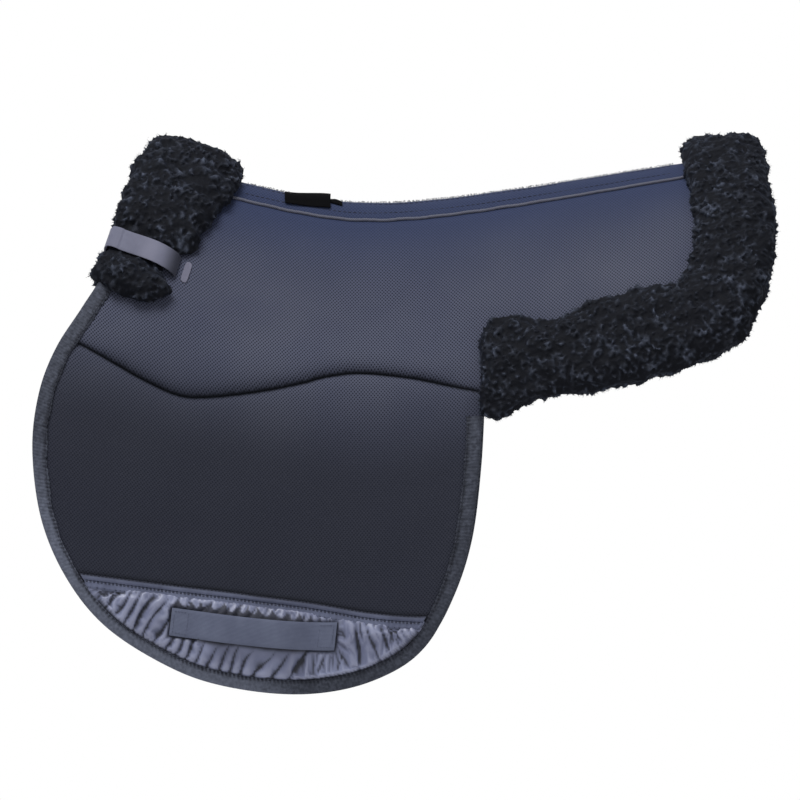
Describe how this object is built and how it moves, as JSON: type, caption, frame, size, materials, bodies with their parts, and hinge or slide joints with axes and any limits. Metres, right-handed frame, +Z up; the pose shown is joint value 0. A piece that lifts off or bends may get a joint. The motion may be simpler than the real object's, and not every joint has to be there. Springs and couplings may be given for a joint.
{
  "type": "sheepskin saddle pad",
  "caption": "Close-contact saddle pad with a sheepskin seat lining, rolled sheepskin edges, quilted flaps, girth loops and front straps.",
  "frame": {"origin": "underside of the spine strip at its lowest point, midway between the two halves", "axes": "+X along the spine towards the horse's tail, +Y to the horse's right, +Z up"},
  "size_m": [0.7441, 0.3632, 0.5601],
  "materials": {
    "spacer_mesh": "matte",
    "seat_felt": "matte",
    "quilt_foam": "matte",
    "cotton_lining": "matte",
    "sheepskin_wool": "matte",
    "patch_nylon": "satin",
    "binding_tape": "matte",
    "spine_piping": "satin",
    "webbing": "matte",
    "hook_tape": "matte",
    "spine_strip": "matte",
    "blank_label": "satin"
  },
  "bodies": {
    "spine": {"spine_strip": "spine_strip", "spine_label": "blank_label", "wither_roll": "sheepskin_wool", "cantle_roll": "sheepskin_wool"},
    "left_half": {"left_outer_cover": "spacer_mesh", "left_seat_felt": "seat_felt", "left_flap_foam": "quilt_foam", "left_flap_lining": "cotton_lining", "left_sheepskin_lining": "sheepskin_wool", "left_flap_binding": "binding_tape", "left_spine_piping": "spine_piping", "left_girth_patch": "patch_nylon", "left_patch_hem": "patch_nylon", "left_girth_loop": "webbing", "left_front_roll": "sheepskin_wool", "left_rear_roll": "sheepskin_wool", "left_strap_root": "webbing", "left_hook_tape": "hook_tape"},
    "left_strap": {"left_billet_strap": "webbing"},
    "right_half": {"right_outer_cover": "spacer_mesh", "right_seat_felt": "seat_felt", "right_flap_foam": "quilt_foam", "right_flap_lining": "cotton_lining", "right_sheepskin_lining": "sheepskin_wool", "right_flap_binding": "binding_tape", "right_spine_piping": "spine_piping", "right_girth_patch": "patch_nylon", "right_patch_hem": "patch_nylon", "right_girth_loop": "webbing", "right_front_roll": "sheepskin_wool", "right_rear_roll": "sheepskin_wool", "right_strap_root": "webbing", "right_hook_tape": "hook_tape"},
    "right_strap": {"right_billet_strap": "webbing"}
  },
  "joints": [
    {"name": "left_fold", "type": "hinge", "parent": "spine", "child": "left_half", "pos_m": [0, -0.03, 0.02], "axis": [-1, 0, 0], "range_deg": [-12, 60], "deforming": ["spine_strip", "wither_roll", "cantle_roll"]},
    {"name": "right_fold", "type": "hinge", "parent": "spine", "child": "right_half", "pos_m": [0, 0.03, 0.02], "axis": [1, 0, 0], "range_deg": [-12, 60], "deforming": ["spine_strip", "wither_roll", "cantle_roll"]},
    {"name": "left_strap_peel", "type": "hinge", "parent": "left_half", "child": "left_strap", "pos_m": [-0.2674, -0.0816, -0.027], "axis": [-0.2601, -0.549, -0.7943], "range_deg": [0, 100]},
    {"name": "right_strap_peel", "type": "hinge", "parent": "right_half", "child": "right_strap", "pos_m": [-0.2674, 0.0816, -0.027], "axis": [0.2601, -0.549, 0.7943], "range_deg": [0, 100]}
  ]
}
